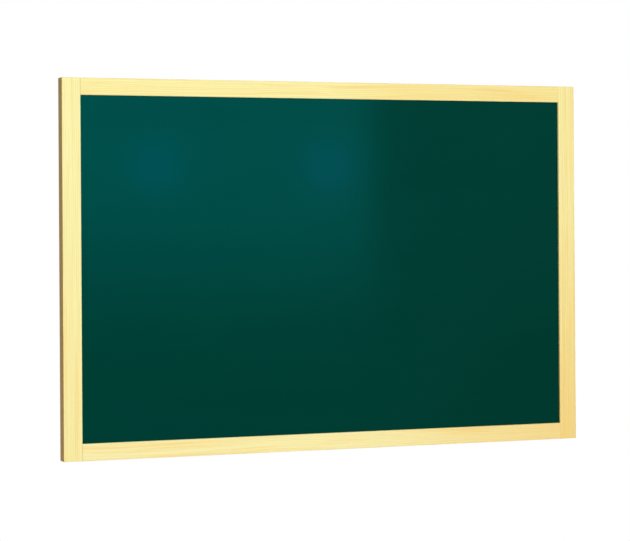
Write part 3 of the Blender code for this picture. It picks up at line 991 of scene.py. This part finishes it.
@dataclass
class Studio:
    """White surroundings, soft lamps, a window-like panel that the lacquer mirrors, and a pale floor."""

    ambient: float = 0.185
    ambient_colour: str = "#FFDFBC"
    floor_height: float = -1.64
    floor_reach: float = 2.2
    floor_fade: Pair = (0.5, 2.1)
    floor_paleness: float = 0.45
    floor_colour: str = "#F4F3F1"
    panel_y: float = -1.2225
    panel_x: Pair = (-0.40, 1.75)
    panel_z: Pair = (-1.05, 0.80)
    panel_level: float = 1.615
    panel_left: Pair = (-0.39, -0.20)
    panel_right: Pair = (0.6255, 0.5505)
    panel_upper: Pair = (0.79, 0.62)
    panel_lower: Pair = (-0.23, 0.16)
    shade_place: Pair = (1.12, -0.42)
    shade_radius: float = 0.62
    shade_depth: float = 0.40
    glow_level: float = 2.4
    glow_radius: float = 0.098
    glow_colour: str = "#7CA5FF"
    glows: tuple[Pair, ...] = ((0.081, 0.197), (0.486, 0.199))

    def build_world(self) -> None:
        """Make the surroundings white to the eye and in reflections, and a plain soft light otherwise."""
        world = bpy.data.worlds.new("white studio")
        bpy.context.scene.world = world
        tree = empty_tree(world)
        rays = add_node(tree, "LightPath").outputs
        seen = rays["Is Camera Ray"]
        for ray in ("Is Glossy Ray", "Is Transmission Ray"):
            seen = add_node(tree, "Math", {0: seen, 1: rays[ray]}, operation="MAXIMUM")
        soft = add_node(tree, "Background", {"Color": linear(self.ambient_colour), "Strength": self.ambient})
        white = add_node(tree, "Background", {"Color": linear("#FFFFFF"), "Strength": 1.0})
        mixed = add_node(tree, "MixShader", {0: seen, 1: soft, 2: white})
        add_node(tree, "OutputWorld", {"Surface": mixed})

    def plane(self, name: str, coating: str, corners: list[Triple]) -> tuple[Object, NodeTree]:
        """Add a stage plane through four corners, with an empty material.

        Args:
            name: Name of the plane.
            coating: Name of the material.
            corners: The corners in order, in metres.
        Returns:
            The plane, and the material's node tree.
        """
        mesh = bpy.data.meshes.new(name)
        mesh.from_pydata(corners, [], [[0, 1, 2, 3]])
        material = bpy.data.materials.new(coating)
        mesh.materials.append(material)
        plane = bpy.data.objects.new(name, mesh)
        bpy.context.scene.collection.objects.link(plane)
        return plane, empty_tree(material)

    def build_floor(self) -> None:
        """Lay a pale floor that keeps shadows and fades into the white surroundings."""
        reach, z = self.floor_reach, self.floor_height
        corners = [(-reach, -reach, z), (reach, -reach, z), (reach, reach, z), (-reach, reach, z)]
        _, tree = self.plane("floor", "floor pale matte", corners)
        place = add_node(tree, "TexCoord").outputs["Object"]
        flat = add_node(tree, "VectorMath", {0: place, 1: (1.0, 1.0, 0.0)}, operation="MULTIPLY")
        away = add_node(tree, "VectorMath", {0: flat}, operation="LENGTH").outputs["Value"]
        near, far = self.floor_fade
        span = {0: away, 1: near, 2: far, 3: self.floor_paleness}
        fade = add_node(tree, "MapRange", span, interpolation_type="SMOOTHSTEP")
        matte = add_node(tree, "BsdfDiffuse", {"Color": linear(self.floor_colour)})
        white = add_node(tree, "Emission", {"Strength": 1.0})
        seen = add_node(tree, "LightPath").outputs["Is Camera Ray"]
        share = add_node(tree, "Math", {0: fade, 1: seen}, operation="MULTIPLY")
        mixed = add_node(tree, "MixShader", {0: share, 1: matte, 2: white})
        add_node(tree, "OutputMaterial", {"Surface": mixed})

    def build_panel(self) -> None:
        """Stand a bright panel where the lacquer mirrors it, seen in reflections alone.

        Its light is that of the surroundings, plus a level in a rectangle with soft edges, less a
        round soft shade, plus round soft glows.
        """
        (left, right), (low, high) = self.panel_x, self.panel_z
        y = self.panel_y
        corners = [(left, y, low), (left, y, high), (right, y, high), (right, y, low)]
        panel, tree = self.plane("softbox panel", "softbox diffuser", corners)
        panel.visible_camera = False
        panel.visible_diffuse = False
        panel.visible_shadow = False
        place = add_node(tree, "TexCoord").outputs["Object"]
        axes = add_node(tree, "SeparateXYZ", {0: place}).outputs
        level = self.panel_level
        edges = (self.panel_left, self.panel_right, self.panel_upper, self.panel_lower)
        for axis, (outside, inside) in zip("XXZZ", edges):
            span = {0: axes[axis], 1: outside, 2: inside}
            share = add_node(tree, "MapRange", span, interpolation_type="SMOOTHSTEP")
            level = add_node(tree, "Math", {0: level, 1: share}, operation="MULTIPLY")
        # Each spot has a centre, a radius, and a level at its edge and another in its middle
        spots = [(self.shade_place, self.shade_radius, 1.0, 1.0 - self.shade_depth)]
        spots += [(centre, self.glow_radius, 0.0, self.glow_level) for centre in self.glows]
        levels = []
        for (x, z), radius, edge, middle in spots:
            gap = add_node(tree, "VectorMath", {0: place, 1: (x, y, z)}, operation="DISTANCE")
            span = {0: gap.outputs["Value"], 1: radius, 2: 0.0, 3: edge, 4: middle}
            levels.append(add_node(tree, "MapRange", span, interpolation_type="SMOOTHSTEP"))
        shaded, *glows = levels
        level = add_node(tree, "Math", {0: level, 1: shaded})
        light = add_node(tree, "Emission", {"Strength": level})
        for glow in glows:
            spot_light = add_node(tree, "Emission", {"Color": linear(self.glow_colour), "Strength": glow})
            light = add_node(tree, "AddShader", {0: light, 1: spot_light})
        add_node(tree, "OutputMaterial", {"Surface": light})

    def build(self) -> None:
        """Set up the surroundings, the floor, the panel and the lamps."""
        self.build_world()
        self.build_floor()
        self.build_panel()
        Lamp("key softbox", (-0.4, -5.0, 1.4), (2.2, 1.6), 231.5, "#F5FAFF").build()
        Lamp("back softbox", (1.2, 3.2, 1.6), (1.8, 1.4), 90.0).build()
        LOG.info("studio: world, floor, panel and two lamps")


@dataclass
class PhotoCamera:
    """The photograph's camera, fitted to the frame's corners in an image 630 pixels wide.

    The uprights stay parallel in the photograph, so the camera is level and its lens is shifted.
    """

    eye: Triple = (-1.34414, -3.35276, 0.07137)
    azimuth: float = math.radians(21.6048)
    drop: float = math.radians(-0.1611)
    roll: float = math.radians(0.3628)
    focal_pixels: float = 2196.3
    shift_pixels: float = -54.45
    image_width: float = 630.0
    sensor: float = 36.0
    clip: Pair = (0.05, 60.0)

    def build(self) -> None:
        """Point the camera along its azimuth and drop, turned by its roll, and make it the scene's."""
        data = bpy.data.cameras.new("photo camera")
        data.sensor_fit = "HORIZONTAL"
        data.sensor_width = self.sensor
        data.lens = self.focal_pixels * self.sensor / self.image_width
        data.shift_y = self.shift_pixels / self.image_width
        data.clip_start, data.clip_end = self.clip
        level = math.cos(self.drop)
        ahead = Vector((math.sin(self.azimuth) * level, math.cos(self.azimuth) * level, -math.sin(self.drop)))
        side = ahead.cross(Vector((0, 0, 1))).normalized()
        over = side.cross(ahead)
        right = side * math.cos(self.roll) - over * math.sin(self.roll)
        up = over * math.cos(self.roll) + side * math.sin(self.roll)
        camera = bpy.data.objects.new("photo camera", data)
        bpy.context.scene.collection.objects.link(camera)
        camera.matrix_world = Matrix.Translation(self.eye) @ Matrix((right, up, -ahead)).transposed().to_4x4()
        bpy.context.scene.camera = camera
        bpy.context.scene.view_settings.view_transform = "Standard"
        LOG.info("camera: %.1f mm lens", data.lens)


def main() -> None:
    """Build and dress every sub-assembly, then the studio and the camera."""
    logging.basicConfig(level=logging.INFO, format="%(message)s")
    zinc = ZincPlatedSteel("zinc plated steel, tumbled").material()
    beech_grain, glue_smear, rubber_pit = (0.006, 0.0008, 0.0008), (0.0004, 0.0004, 0.002), (0.0004,) * 3
    beech = SpeckledMatte("beech turned, raw", "#CDA672", "#E2C294", (0.66, 0.54), beech_grain, 0.00005)
    glue = SpeckledMatte("wood glue dried, pale", "#E9CB84", "#F2DA96", (0.61, 0.49), glue_smear, 0.00002)
    rubber = SpeckledMatte("rubber moulded, matte", "#35363A", "#414246", (0.78, 0.66), rubber_pit, 0.00004)
    bare = {"sheen": 0.1, "roughness": (0.5, 0.65)}
    bead_pine = {
        "long": PlanedPine("pine planed, long beads", Grain.LEVEL, (0.12, 0.05, 5.3), **bare),
        "short": PlanedPine("pine planed, short beads", Grain.UPRIGHT, (0.17, 0.06, 7.9), **bare),
    }
    pine_frame = PineFrame()
    pine_frame.dress(beech.material())
    pine_frame.build_glue(glue.material())
    WritingPanel().dress()
    Beads().build({name: finish.material() for name, finish in bead_pine.items()}, zinc)
    RingHangers().build(zinc)
    Bumpers().build(rubber.material())
    Studio().build()
    PhotoCamera().build()


if __name__ == "__main__":
    main()
